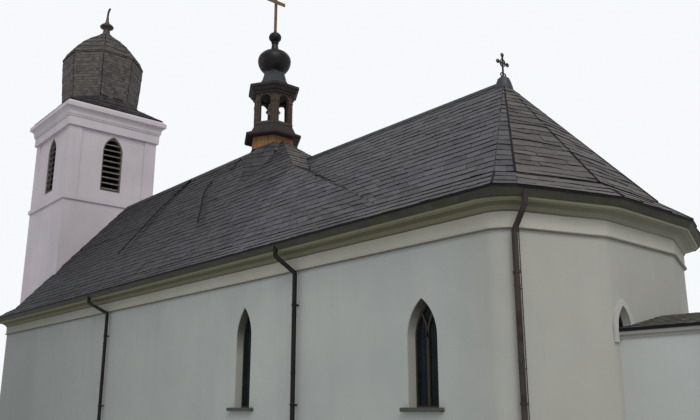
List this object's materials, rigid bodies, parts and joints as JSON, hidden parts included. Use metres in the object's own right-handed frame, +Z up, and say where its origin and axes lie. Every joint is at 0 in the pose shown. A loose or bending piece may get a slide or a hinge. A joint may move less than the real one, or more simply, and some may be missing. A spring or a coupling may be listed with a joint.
{
  "type": "church",
  "caption": "Plastered village church with slate roof, west tower under an octagonal dome, ridge turret, polygonal apse and low annex.",
  "frame": {"origin": "on the church's long axis, level with the undersides of its floor and walls, 16.4 m west of the apse's east face", "axes": "+X along the church toward the apse, +Y to its north side, +Z up"},
  "size_m": [39.04, 9.1, 25.3414],
  "materials": {
    "plaster": "matt painted lime render",
    "tower_plaster": "matt painted lime render, faintly pink",
    "floor_stone": "worn paving stone",
    "slate": "dark split slate",
    "shingle": "weathered dark shingles",
    "dark_wood": "dark stained boards",
    "ochre_wood": "ochre painted boards",
    "frame_wood": "dark painted wood",
    "soffit_board": "painted boards, dark with algae",
    "sheet_metal": "dark painted sheet",
    "pipe_metal": "dark brown painted sheet",
    "copper": "dark tarnished sheet",
    "lead": "dull grey sheet",
    "gilt": "worn gilding",
    "iron": "dark wrought iron",
    "bell_metal": "cast bell metal",
    "glass": "dark leaded window glass"
  },
  "bodies": {
    "root": {"floor": "floor_stone", "south_wall": "plaster", "north_wall": "plaster", "west_wall": "plaster", "apse_south_wall": "plaster", "apse_east_wall": "plaster", "apse_north_wall": "plaster", "south_cornice": "plaster", "north_cornice": "plaster", "apse_cornice": "plaster", "nave_roof": "slate", "chancel_roof": "slate", "ridge_caps": "sheet_metal", "eaves_soffit": "soffit_board", "downpipes": "pipe_metal", "window_frames": "frame_wood", "window_glass": "glass", "window_sills": "floor_stone", "apse_window_surround": "plaster", "tower_east_wall": "tower_plaster", "tower_west_wall": "tower_plaster", "tower_south_wall": "tower_plaster", "tower_north_wall": "tower_plaster", "tower_door": "frame_wood", "tower_louvres": "frame_wood", "tower_cornice": "tower_plaster", "tower_skirt": "shingle", "tower_dome": "shingle", "tower_finial": "lead", "turret_base": "ochre_wood", "turret_skirt": "dark_wood", "turret_lantern": "dark_wood", "turret_bell": "bell_metal", "turret_cornice": "dark_wood", "turret_cap": "lead", "turret_onion": "copper", "turret_cross": "gilt", "apse_cap": "lead", "apse_cross": "iron", "annex_south_wall": "plaster", "annex_north_wall": "plaster", "annex_east_wall": "plaster", "annex_roof": "shingle", "annex_cornice": "plaster"}
  },
  "joints": []
}
